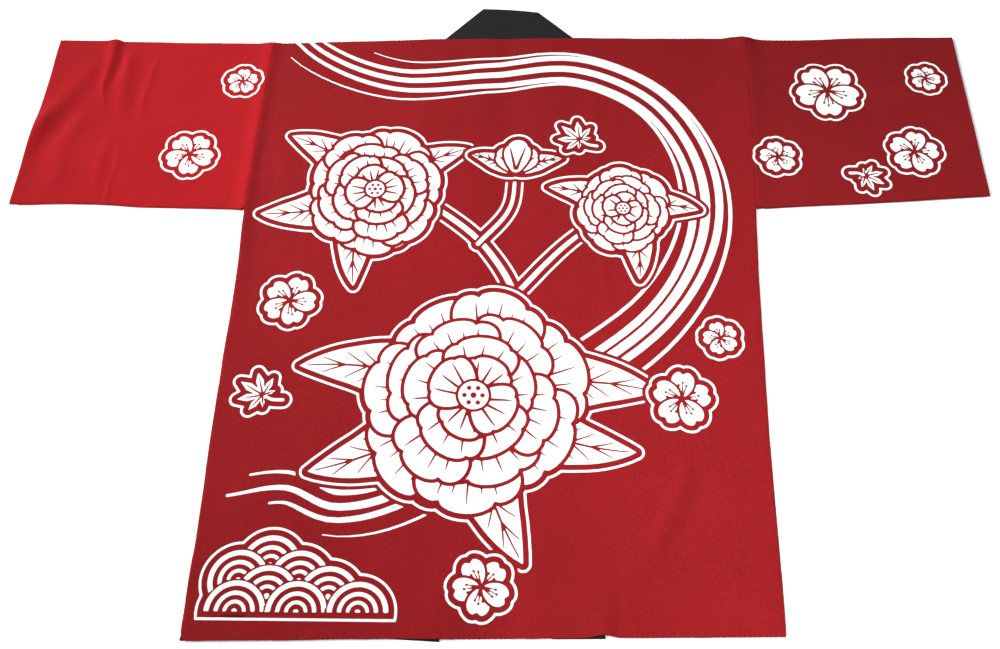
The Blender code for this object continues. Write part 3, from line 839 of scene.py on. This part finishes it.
class Panel:
    """A panel of cloth laid flat: left and right edges as x at y, bottom and top edges as y at x.

    Its outline has extra points at breaks_x and breaks_y, where an edge changes abruptly.
    """

    def __init__(self, left, right, bottom, top, height, breaks_x=(), breaks_y=()):
        self.left, self.right, self.bottom, self.top = left, right, bottom, top
        self.height = height
        self.breaks_x, self.breaks_y = breaks_x, breaks_y

    def folded_y(self, x, y):
        """Where y comes to lie once the cloth is turned over at the bottom and top."""
        low, high = self.bottom.line(x), self.top.line(x)
        on_y = np.clip(y, low, high)
        height = self.height(x, on_y)
        up = self.top.turned(np.maximum(y - high, 0.0), x, height)
        down = self.bottom.turned(np.maximum(low - y, 0.0), x, height)
        return on_y, on_y + up[1] - down[1], up, down

    def drape(self, points):
        """The places in space of points on the cloth laid flat."""
        x, y = points.T
        on_x = np.clip(x, self.left.line(y), self.right.line(y))
        on_y, lies_y, up, down = self.folded_y(on_x, y)
        left_x, right_x = self.left.line(lies_y), self.right.line(lies_y)
        height = self.height(np.clip(x, left_x, right_x), on_y)
        _, out_right, drop_right = self.right.turned(np.maximum(x - right_x, 0.0), lies_y, height)
        _, out_left, drop_left = self.left.turned(np.maximum(left_x - x, 0.0), lies_y, height)
        lean = up[0] - down[0]
        inward = drop_right + drop_left
        return np.stack([
            np.clip(x, left_x, right_x) + out_right - out_left,
            lies_y - inward * np.sin(lean),
            np.maximum(height - up[2] - down[2] - inward * np.cos(lean), LOWEST_CLOTH),
        ], axis=1)

    def side_points(self, edge, sign, x_near, places, past=None):
        """Points along the left or right side, past its line by so much, or at its cloth's end."""
        _, lies_y, _, _ = self.folded_y(np.full(len(places), x_near), places)
        x = edge.line(lies_y)
        height = self.height(x, np.clip(places, self.bottom.line(x), self.top.line(x)))
        beyond = edge.reach(lies_y, height) if past is None else edge.radius_at(lies_y, height) * past
        return np.stack([x + sign * beyond, places], axis=1)

    def end_points(self, edge, sign, places, past=None):
        """Points along the bottom or top, in the same way."""
        y = edge.line(places)
        height = self.height(places, y)
        beyond = edge.reach(places, height) if past is None else edge.radius_at(places, height) * past
        return np.stack([places, y + sign * beyond], axis=1)

    def stations(self):
        """Even places along x and, round the bottom and top edges too, along y."""
        middle_y = (self.bottom.line(0.0) + self.top.line(0.0)) / 2
        left, right = float(self.left.line(middle_y)), float(self.right.line(middle_y))
        middle_x = np.array([(left + right) / 2])
        low = self.end_points(self.bottom, -1, middle_x)[0, 1]
        high = self.end_points(self.top, 1, middle_x)[0, 1]
        x = np.sort([*np.arange(left, right, EDGE_GRID)[1:], *self.breaks_x])
        y = np.sort([*np.arange(low, high, EDGE_GRID)[1:], *self.breaks_y])
        return x[(x > left) & (x < right)], y[(y > low) & (y < high)]

    def outline(self):
        """The cloth's cut edge, laid flat."""
        x, y = self.stations()
        right = self.side_points(self.right, 1, x[-1], y)
        left = self.side_points(self.left, -1, x[0], y)[::-1]
        bottom = self.end_points(self.bottom, -1, x[(x > left[-1, 0]) & (x < right[0, 0])])
        top = self.end_points(self.top, 1, x[(x > left[0, 0]) & (x < right[-1, 0])])[::-1]
        corners = [
            np.array([[left[-1, 0], bottom[0, 1]]]),
            np.array([[right[0, 0], bottom[-1, 1]]]),
            np.array([[right[-1, 0], top[0, 1]]]),
            np.array([[left[0, 0], top[-1, 1]]]),
        ]
        return np.vstack([corners[0], bottom, corners[1], right, corners[2], top, corners[3], left])

    def grid(self, spacing):
        """Points over the panel inside its four lines, closer together near them."""
        def spread(low, high):
            count = max(math.ceil((high - low) / spacing), 2)
            share = np.arange(1, count) / count
            near = np.array([0.0, *RIM_ROWS]) / (high - low)
            return np.sort([*near, *(1.0 - near), *share])

        middle_y = (self.bottom.line(0.0) + self.top.line(0.0)) / 2
        left, right = self.left.line(middle_y), self.right.line(middle_y)
        low, high = self.bottom.line((left + right) / 2), self.top.line((left + right) / 2)
        part_x, part_y = np.meshgrid(spread(left, right), spread(low, high))
        y = low + (high - low) * part_y
        x = self.left.line(y) + (self.right.line(y) - self.left.line(y)) * part_x
        y = self.bottom.line(x) + (self.top.line(x) - self.bottom.line(x)) * part_y
        return np.stack([x.ravel(), y.ravel()], axis=1)

    def turn_rows(self):
        """Rows of points round each turned edge."""
        x, y = self.stations()
        rows = []
        for angle in np.arange(1, TURN_STEPS) * math.pi / TURN_STEPS:
            rows.append(self.side_points(self.right, 1, x[-1], y, angle))
            rows.append(self.side_points(self.left, -1, x[0], y, angle))
            rows.append(self.end_points(self.bottom, -1, x, angle))
            rows.append(self.end_points(self.top, 1, x, angle))
        return np.vstack(rows)


def underlap_grid(panel, depth):
    """A coarse grid on the layer that lies under the panel from its top fold on."""
    x, _ = panel.stations()
    fold = panel.end_points(panel.top, 1, x[::4], math.pi)
    depths = np.arange(COARSE_GRID / 2, depth, COARSE_GRID)
    return np.vstack([fold + np.array([0.0, under]) for under in depths])


def crease_points(panel):
    """Rows of points along each crease that is on the panel, to both sides of its crest."""
    rows = []
    for _, crest in CREASES:
        for (*start, _, half_width), (*end, _, _) in zip(crest, crest[1:]):
            start, run = np.array(start), np.array(end) - start
            length = math.hypot(*run)
            across = np.array([-run[1], run[0]]) / length
            share = np.linspace(0, 1, max(int(length / (CREASE_STEP * half_width)), 3))[:-1, None]
            for offset in CREASE_OFFSETS:
                rows.append(start + run * share + across * offset * half_width)
    points = np.vstack(rows) * MM
    x, y = points.T
    beside = (x > panel.left.line(y)) & (x < panel.right.line(y))
    return points[beside & (y > panel.bottom.line(x)) & (y < panel.top.line(x))]


def add_object(name, data):
    made = bpy.data.objects.new(name, data)
    bpy.context.scene.collection.objects.link(made)
    return made


def add_piece(name, points, faces, materials, is_shell=False):
    """A smooth object at plan places; a shell gets the cloth's thickness under its faces."""
    mesh = bpy.data.meshes.new(name)
    mesh.from_pydata(to_frame(points).tolist(), [], faces)
    for material in materials:
        mesh.materials.append(material)
    mesh.shade_smooth()
    piece = add_object(name, mesh)
    if is_shell:
        shell = piece.modifiers.new("shell", "SOLIDIFY")
        shell.thickness = CLOTH
        shell.offset = -1.0
    return piece


def make_cloth(name, panel, spacing, more_points, materials, cloth=None):
    """A thin shell of cloth, with the print's faces in the second material."""
    points = np.vstack([panel.grid(spacing), panel.turn_rows(), *more_points])
    lines = cloth.lines if cloth else ()
    places, triangles = triangulated(panel.outline() / MM, lines, points / MM)
    piece = add_piece(name, panel.drape(places * MM), triangles.tolist(), materials, is_shell=True)
    if cloth:
        white = field_at(cloth, places[triangles].mean(axis=1)) < 0
        piece.data.polygons.foreach_set("material_index", white.astype(np.int32))
    return piece


def make_back(materials, cloth):
    """The back panel, with the shoulder fold and the side seams down to the floor."""
    neck = [laid_corner("neck", side)[0] for side in SIDES]
    underarm = {side: laid_corner("underarm", side)[1] for side in SIDES}

    def on_neck(x):
        return (x > neck[0]) & (x < neck[1])

    def side_edge(side):
        line = edge_line(("seam_top", "underarm", "hem"), side)

        def on_sleeve(y):
            return y > underarm[side]

        inset = either(on_sleeve, SEAM_GAP / 2 + SEAM_RADIUS, FOLD_INSET)
        radius, angle = either(on_sleeve, SEAM_RADIUS, TO_THE_FLOOR), either(on_sleeve, SEAM_TURN, FULL_TURN)
        return Edge(lambda y: line(y) - side * inset(y), radius, angle)

    top_line = end_line(("seam_top", -1), ("neck", -1), ("neck", 1), ("seam_top", 1))
    top_inset = either(on_neck, FOLD_INSET + SEAM_GAP, FOLD_INSET)
    top_radius, top_angle = either(on_neck, SEAM_RADIUS, TO_THE_FLOOR), either(on_neck, SEAM_TURN, FULL_TURN)
    underlap = either(on_neck, 0.0, SHOULDER_UNDERLAP)
    top = Edge(lambda x: top_line(x) - top_inset(x), top_radius, top_angle, underlap)
    bottom = Edge(lambda x: BACK_HEM(x) + HEM_INSET + hem_draw(x), HEM_RADIUS)
    breaks_x, breaks_y = (
        [place + shift for place in places for shift in (-SHARP_STEP, SHARP_STEP)]
        for places in (neck, underarm.values())
    )
    panel = Panel(side_edge(-1), side_edge(1), bottom, top, top_height, breaks_x, breaks_y)
    return panel, make_cloth("back_cloth", panel, GRID, [crease_points(panel)], materials, cloth)


def make_sleeve(name, side, materials, cloth):
    """A sleeve: one cloth folded at the top, whose lower layer runs along the floor to the bottom seam."""
    armhole = edge_line(("seam_top", "underarm"), side)
    cuff = edge_line(("cuff_top", "cuff_bottom"), side)
    seam = Edge(moved(armhole, side * (SEAM_GAP / 2 + SEAM_RADIUS)), SEAM_RADIUS, SEAM_TURN)
    hem = Edge(moved(cuff, -side * HEM_INSET), HEM_RADIUS)
    top_line = moved(end_line(("seam_top", side), ("cuff_top", side)), -FOLD_INSET)
    bottom_line = moved(end_line(("underarm", side), ("cuff_bottom", side)), FOLD_INSET)

    def depth(x):
        return top_line(x) - bottom_line(x) - SLEEVE_SEAM_GAP

    top = Edge(top_line, TO_THE_FLOOR, FULL_TURN, depth)
    bottom = Edge(bottom_line, TO_THE_FLOOR, FULL_TURN)
    left, right = (hem, seam) if side < 0 else (seam, hem)
    panel = Panel(left, right, bottom, top, top_height)
    under = underlap_grid(panel, float(depth(laid_corner("cuff_top", side)[0])))
    return panel, make_cloth(name, panel, GRID, [crease_points(panel), under], materials, cloth)


def make_front(name, side, material):
    """A front panel, flat on the floor under the back, from its side seam to its band."""
    gap = FOLD_INSET + SEAM_GAP + HEM_RADIUS
    outer = Edge(moved(edge_line(("seam_top", "underarm", "hem"), side), -side * gap), HEM_RADIUS)
    inner = Edge(moved(BAND_SEAM[side], side * (SEAM_GAP + HEM_RADIUS)), HEM_RADIUS)
    top = Edge(moved(end_line(("seam_top", side), ("neck", side)), -gap - SHOULDER_UNDERLAP), HEM_RADIUS)
    bottom = Edge(moved(BACK_HEM, FRONT_HEM_INSET + HEM_RADIUS), HEM_RADIUS)
    left, right = (outer, inner) if side < 0 else (inner, outer)
    panel = Panel(left, right, bottom, top, lambda x, y: np.full(np.broadcast(x, y).shape, PANEL_WALL))
    return make_cloth(name, panel, COARSE_GRID, [], [material])


# The collar band, as part.py folds it: a doubled strip that turns over beside the neck
BAND_RUN_STEPS = 110
BAND_FOLD_STEPS = 10
NECK_STEPS = 40
BAND_EDGE_SHARES = (0.0, 0.12, 0.35, 0.7, 1.0, 1.6, 3.0)
BAND_MIDDLE_STEPS = 8


def band_sections(side):
    """A front band from the hem to the diagonal fold beside the neck, where it turns over."""
    fold_radius = (BAND_WALL + LAYER_GAP) / 2
    seam_shift = np.array([-side * SEAM_GAP / 2, 0.0])
    seam_end = laid_corner("neck", side) + seam_shift - np.array([0.0, FOLD_INSET])
    free_end = laid_corner("collar_top", side)
    along_fold = (free_end - seam_end) / np.linalg.norm(free_end - seam_end)
    outward = np.array([side * along_fold[1], -side * along_fold[0]])
    free_end = free_end - outward * (fold_radius + BAND_WALL / 2)
    seam_start = laid_corner("band_seam", side) + seam_shift
    free_start = laid_corner("band_free", side)
    sections = []
    for part in np.linspace(0.0, 1.0, BAND_RUN_STEPS + 1):
        seam = seam_start + (seam_end - seam_start) * part
        free = free_start + (free_end - free_start) * part
        sections.append((seam, free, BAND_WALL / 2))
    for angle in np.linspace(0.0, math.pi, BAND_FOLD_STEPS + 1)[1:]:
        out = outward * fold_radius * math.sin(angle)
        up = BAND_WALL / 2 + fold_radius * (1.0 - math.cos(angle))
        sections.append((seam_end + out, free_end + out, up))
    return sections


def band_rows():
    """The band's middle surface: rows of points from its seam to its free edge."""
    left, right = ([(*section, section[2]) for section in band_sections(side)] for side in SIDES)
    fold_height = left[-1][2]
    neck = []
    for part in np.linspace(0.0, 1.0, NECK_STEPS + 1)[1:-1]:
        seam = left[-1][0] + (right[-1][0] - left[-1][0]) * part
        free = left[-1][1] + (right[-1][1] - left[-1][1]) * part
        free = free + np.array([0.0, NECK_BOW * math.sin(math.pi * part)])
        neck.append((seam, free, layer_floor(*seam) + BAND_WALL / 2, fold_height))
    rows = []
    for seam, free, seam_height, free_height in [*left, *neck, *reversed(right)]:
        width = np.linalg.norm(free - seam)
        near = np.array(BAND_EDGE_SHARES) * BAND_WALL / 2 / width
        across = np.sort([*near, *(1.0 - near), *np.linspace(0, 1, BAND_MIDDLE_STEPS + 1)[1:-1]])
        places = seam + (free - seam) * across[:, None]
        rows.append(np.column_stack([places, seam_height + (free_height - seam_height) * across]))
    return np.array(rows), across


def tube_faces(first, rows, count):
    """The faces between rows of points that each close into a ring, from the first point's number on."""
    faces = []
    for row in range(first, first + (rows - 1) * count, count):
        for i in range(count):
            near, following = row + i, row + (i + 1) % count
            faces.append((near, following, following + count, near + count))
    return faces


def make_collar(material):
    """The doubled band as a flattened tube, rounded at its two edges and closed at its ends."""
    middle, across = band_rows()
    along_run = np.gradient(middle, axis=0)
    along_width = middle[:, -1:] - middle[:, :1]
    normals = np.cross(np.broadcast_to(along_width, middle.shape), along_run)
    normals /= np.linalg.norm(normals, axis=2)[:, :, None]
    width = np.linalg.norm(along_width, axis=2)
    to_edge = np.minimum(across, 1.0 - across)[None, :] * width
    rounding = np.clip(1.0 - to_edge / (BAND_WALL / 2), 0.0, 1.0)
    half = BAND_WALL / 2 * np.sqrt(np.maximum(1.0 - rounding**2, 0.0))
    upper = middle + normals * half[:, :, None]
    lower = middle - normals * half[:, :, None]
    rings = np.concatenate([upper, lower[:, -2:0:-1]], axis=1)
    rows, count = rings.shape[:2]
    ends = [tuple(range(count))[::-1], tuple(range((rows - 1) * count, rows * count))]
    faces = tube_faces(0, rows, count) + ends
    return add_piece("collar_band", rings.reshape(-1, 3), faces, [material], is_shell=True)


# Machine stitches along the hems
STITCH_LENGTH = 0.0026
STITCH_PITCH = 0.0034
STITCH_HALF = 0.00016
STITCH_RISE = 0.00002
STITCH_SIDES = 6
STITCH_RINGS = (0.2, 0.5, 0.8)
HEM_DEPTH = 0.016


def stitch_line(panel, start, end):
    """Where each stitch of a straight seam starts and ends on the panel."""
    run = end - start
    length = np.linalg.norm(run)
    firsts = np.arange(STITCH_PITCH, length - STITCH_PITCH, STITCH_PITCH)
    both = np.stack([firsts, firsts + STITCH_LENGTH], axis=1) / length
    return panel.drape(start + run * both.reshape(-1, 1)).reshape(-1, 2, 3)


def make_stitches(name, start, end, panel, material):
    """Machine stitches along a straight row on a panel: small spindles that sit half sunk in the cloth."""
    turns = np.arange(STITCH_SIDES) * 2 * math.pi / STITCH_SIDES
    vertices, faces = [], []
    for first_end, other_end in stitch_line(panel, start, end):
        run = other_end - first_end
        along = run / np.linalg.norm(run)
        sideways = np.cross([0.0, 0.0, 1.0], along)
        up = np.cross(along, sideways)
        ring = STITCH_HALF * (np.cos(turns)[:, None] * sideways + np.sin(turns)[:, None] * up)
        tip, rings = len(vertices), len(vertices) + 2
        vertices += [first_end - up * STITCH_HALF, other_end - up * STITCH_HALF]
        for part in STITCH_RINGS:
            vertices += list(first_end + run * part + up * STITCH_RISE + ring)
        faces += tube_faces(rings, len(STITCH_RINGS), STITCH_SIDES)
        last_ring = rings + (len(STITCH_RINGS) - 1) * STITCH_SIDES
        for i in range(STITCH_SIDES):
            following = (i + 1) % STITCH_SIDES
            faces += [(tip, rings + following, rings + i), (last_ring + i, last_ring + following, tip + 1)]
    return add_piece(name, np.array(vertices), faces, [material])


# Colours are linear. The left sleeve's red is lighter than the body's, as painted light, and the right
# sleeve's red is darker, as painted shade, because the light falls brighter on the left of the coat
RED_LEFT_SLEEVE_PAINTED_LIGHT = (0.3365, 0.0068, 0.0103)
RED_BODY = (0.235, 0.0077, 0.0101)
RED_RIGHT_SLEEVE_PAINTED_SHADE = (0.2097, 0.0078, 0.0100)
WHITE = (0.96, 0.96, 0.96)
BLACK = (0.0155, 0.0155, 0.0165)
LIGHTEST_DYE = 0.97

# The weave and the dye, as scales per metre and metres
THREAD_PERIOD = 0.00055
WEAVE_DEPTH = 0.00012
WEAVE_STRENGTH = 0.35
BLOTCH_SCALE = (9.0, 9.0)
BLOTCH_SHARE = 0.18
SLUB_SCALE = (380.0, 900.0)

# Blender's wave texture has this many waves in one unit at a scale of 1
WAVES_AT_SCALE_ONE = 20 / (2 * math.pi)
# The colour sockets of Blender's mix node, which share their names with its number sockets
MIX_COLOUR_A, MIX_COLOUR_B, MIX_COLOUR_RESULT = 6, 7, 2


def set_inputs(tree, node, inputs):
    """Give a node its inputs, which are plain values or other nodes' outputs."""
    for key, value in inputs.items():
        if isinstance(value, bpy.types.NodeSocket):
            tree.links.new(value, node.inputs[key])
        else:
            node.inputs[key].default_value = value


def add_node(tree, kind, output, inputs, **settings):
    """Add a node with its inputs and settings, and give back one of its outputs."""
    node = tree.nodes.new(f"ShaderNode{kind}")
    for name, value in settings.items():
        setattr(node, name, value)
    set_inputs(tree, node, inputs)
    return node.outputs[output]


def cotton(name, colour, unevenness):
    """Plain-weave cotton: crossing threads in its relief, and dye that took unevenly."""
    material = bpy.data.materials.new(name)
    material.use_nodes = True
    tree = material.node_tree
    place = add_node(tree, "TexCoord", "Object", {})

    def noise(scale, detail):
        stretched = add_node(tree, "Mapping", "Vector", {"Vector": place, "Scale": (*scale, scale[0])})
        return add_node(tree, "TexNoise", "Fac", {"Vector": stretched, "Scale": 1.0, "Detail": detail})

    def maths(operation, first, second):
        return add_node(tree, "Math", "Value", {0: first, 1: second}, operation=operation)

    def threads(direction):
        scale = 1 / THREAD_PERIOD / WAVES_AT_SCALE_ONE
        inputs = {"Vector": place, "Scale": scale, "Distortion": 0.6, "Detail": 0.0}
        return add_node(tree, "TexWave", "Fac", inputs, bands_direction=direction)

    blotches = maths("MULTIPLY", noise(BLOTCH_SCALE, 3.0), BLOTCH_SHARE)
    slubs = maths("ADD", noise(SLUB_SCALE, 1.0), noise(SLUB_SCALE[::-1], 1.0))
    mottling = maths("ADD", blotches, maths("MULTIPLY", slubs, (1.0 - BLOTCH_SHARE) / 2))
    factors = (1.0 - unevenness, 1.0 + unevenness)
    low, high = ((*np.clip(np.array(colour) * factor, 0, LIGHTEST_DYE), 1.0) for factor in factors)
    mix = {"Factor": mottling, MIX_COLOUR_A: low, MIX_COLOUR_B: high}
    weave = maths("MULTIPLY", threads("X"), threads("Y"))
    bump = {"Strength": WEAVE_STRENGTH, "Distance": WEAVE_DEPTH, "Height": weave}
    set_inputs(tree, tree.nodes["Principled BSDF"], {
        "Base Color": add_node(tree, "Mix", MIX_COLOUR_RESULT, mix, data_type="RGBA"),
        "Normal": add_node(tree, "Bump", "Normal", bump),
        "Roughness": 0.92,
        "Specular IOR Level": 0.12,
        "Sheen Weight": 0.06,
        "Sheen Roughness": 0.5,
        "Sheen Tint": (*np.clip(np.array(colour) * 1.5 + 0.05, 0, 1), 1.0),
    })
    return material


red_body = cotton("red_body_cotton", RED_BODY, unevenness=0.75)
# The two sleeve reds hold painted light on the left sleeve and painted shade on the right sleeve
red_left_painted_light = cotton("red_left_sleeve_painted_light_cotton", RED_LEFT_SLEEVE_PAINTED_LIGHT, unevenness=0.58)
red_right_painted_shade = cotton("red_right_sleeve_painted_shade_cotton", RED_RIGHT_SLEEVE_PAINTED_SHADE, unevenness=0.75)
white_print = cotton("white_print_cotton", WHITE, unevenness=0.02)
black_band = cotton("black_band_cotton", BLACK, unevenness=0.45)
red_thread = cotton("red_thread", RED_BODY, unevenness=0.10)

cloth_print = draw_print()
back_panel, back = make_back([red_body, white_print], cloth_print)
left_panel, sleeve_left = make_sleeve("sleeve_left_cloth", -1, [red_left_painted_light, white_print], cloth_print)
right_panel, sleeve_right = make_sleeve("sleeve_right_cloth", 1, [red_right_painted_shade, white_print], cloth_print)
front_left = make_front("front_left_cloth", -1, red_body)
front_right = make_front("front_right_cloth", 1, red_body)
collar = make_collar(black_band)

above_hem = np.array([0.0, HEM_DEPTH])
hem_ends = [laid_corner("hem", side) + above_hem for side in SIDES]
hem_stitches = make_stitches("hem_stitches", *hem_ends, back_panel, red_thread)
# Each cuff's stitches take their sleeve's red: painted light on the left, painted shade on the right
cuffs = ((-1, "left", left_panel, red_left_painted_light), (1, "right", right_panel, red_right_painted_shade))
cuff_stitches = []
for side, side_name, panel, material in cuffs:
    inward = np.array([-side * HEM_DEPTH, 0.0])
    cuff_ends = [laid_corner(name, side) + inward for name in ("cuff_top", "cuff_bottom")]
    cuff_stitches.append(make_stitches(f"cuff_stitches_{side_name}", *cuff_ends, panel, material))

red_pieces = [back, sleeve_left, sleeve_right, front_left, front_right, hem_stitches, *cuff_stitches]
for piece in [*red_pieces, collar]:
    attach(piece, "root")
nodes = ("back", "sleeve_left", "sleeve_right", "front_left", "front_right", "collar")
for piece, node in zip((back, sleeve_left, sleeve_right, front_left, front_right, collar), nodes):
    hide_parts(node)

# The stage: a white floor, even light from all round, and a broad soft light from the left
FLOOR_HALF = 6.0
FLOOR_LEVEL = -0.0002
FLOOR_GLOW = 0.15

floor_mesh = bpy.data.meshes.new("floor")
corner_signs = ((-1, -1), (1, -1), (1, 1), (-1, 1))
floor_corners = [(x * FLOOR_HALF, y * FLOOR_HALF, FLOOR_LEVEL) for x, y in corner_signs]
floor_mesh.from_pydata(floor_corners, [], [(0, 1, 2, 3)])
floor_paper = bpy.data.materials.new("floor_paper")
floor_paper.use_nodes = True
set_inputs(floor_paper.node_tree, floor_paper.node_tree.nodes["Principled BSDF"], {
    "Base Color": (0.99, 0.99, 0.99, 1.0),
    "Roughness": 1.0,
    "Emission Color": (1.0, 1.0, 1.0, 1.0),
    "Emission Strength": FLOOR_GLOW,
})
floor_mesh.materials.append(floor_paper)
add_object("floor", floor_mesh)

# The studio's walls are white at the floor and dimmer higher up: the height as the sine of its angle
WALL_WHITE_BELOW = 0.06
WALL_DIM_ABOVE = 0.22
WALL_STRENGTH = 1.0
CEILING_STRENGTH = 0.275

world = bpy.data.worlds.new("studio")
world.use_nodes = True
tree = world.node_tree
direction = add_node(tree, "TexCoord", "Generated", {})
wall_strength = add_node(tree, "MapRange", "Result", {
    "Value": add_node(tree, "SeparateXYZ", "Z", {"Vector": direction}),
    "From Min": WALL_WHITE_BELOW,
    "From Max": WALL_DIM_ABOVE,
    "To Min": WALL_STRENGTH,
    "To Max": CEILING_STRENGTH,
})
set_inputs(tree, tree.nodes["Background"], {"Color": (1.0, 1.0, 1.0, 1.0), "Strength": wall_strength})
bpy.context.scene.world = world

SUN_STRENGTH = 4.83
SUN_SPREAD = math.radians(36)
SUN_DIRECTION = (0.86, -0.20, -0.46)


def add_lamp(name, kind, energy, **settings):
    lamp = bpy.data.lights.new(name, kind)
    lamp.energy = energy
    for setting, value in settings.items():
        setattr(lamp, setting, value)
    return add_object(name, lamp)


left_light = add_lamp("soft_left_light", "SUN", SUN_STRENGTH, angle=SUN_SPREAD)
left_light.rotation_euler = Vector(SUN_DIRECTION).to_track_quat("-Z", "Y").to_euler()

# Soft pools of light from straight above, because the photograph is brighter there
POOLS = (
    # name, plan x, plan y, reach, strength
    ("upper left", -0.375, -0.175, 0.55, 0.607),
    ("middle", 0.125, -0.55, 0.42, 0.603),
    ("lower right", 0.375, -0.925, 0.30, 1.20),
    ("right", 0.375, -0.30, 0.30, 0.353),
    ("beside the right hem", 0.625, -0.425, 0.42, 0.284),
    ("left of the middle", -0.125, -0.675, 0.30, 0.14),
)
POOL_LAMP_HEIGHT = 3.0
POOL_LAMP_SIZE = 0.3
for name, x, y, reach, strength in POOLS:
    energy = strength * (2.0 * math.pi * POOL_LAMP_HEIGHT) ** 2
    spread = 2.0 * math.atan(reach / POOL_LAMP_HEIGHT)
    pool = add_lamp(
        f"pool_{name}", "SPOT", energy, spot_size=spread, spot_blend=1.0, shadow_soft_size=POOL_LAMP_SIZE
    )
    pool.location = to_frame(np.array([x, y, POOL_LAMP_HEIGHT])).tolist()

# The camera stands where the photograph was taken from: above the hem, looking down at 63 degrees
CAMERA_PLACE = (0.03555, -0.6419, 1.150)
CAMERA_RIGHT = (0.99974, 0.01662, -0.01566)
CAMERA_UP = (-0.00784, 0.89379, 0.44842)
CAMERA_BACK = (0.02145, -0.44818, 0.89368)
FOCAL_LENGTH = 37.05
SENSOR_WIDTH = 36.0

camera_data = bpy.data.cameras.new("camera")
camera_data.sensor_width = SENSOR_WIDTH
camera_data.lens = FOCAL_LENGTH
camera = add_object("camera", camera_data)
turn = Matrix([CAMERA_RIGHT, CAMERA_UP, CAMERA_BACK]).transposed().to_4x4()
camera.matrix_world = Matrix.Translation(CAMERA_PLACE) @ turn
bpy.context.scene.camera = camera
bpy.context.scene.view_settings.view_transform = "Standard"
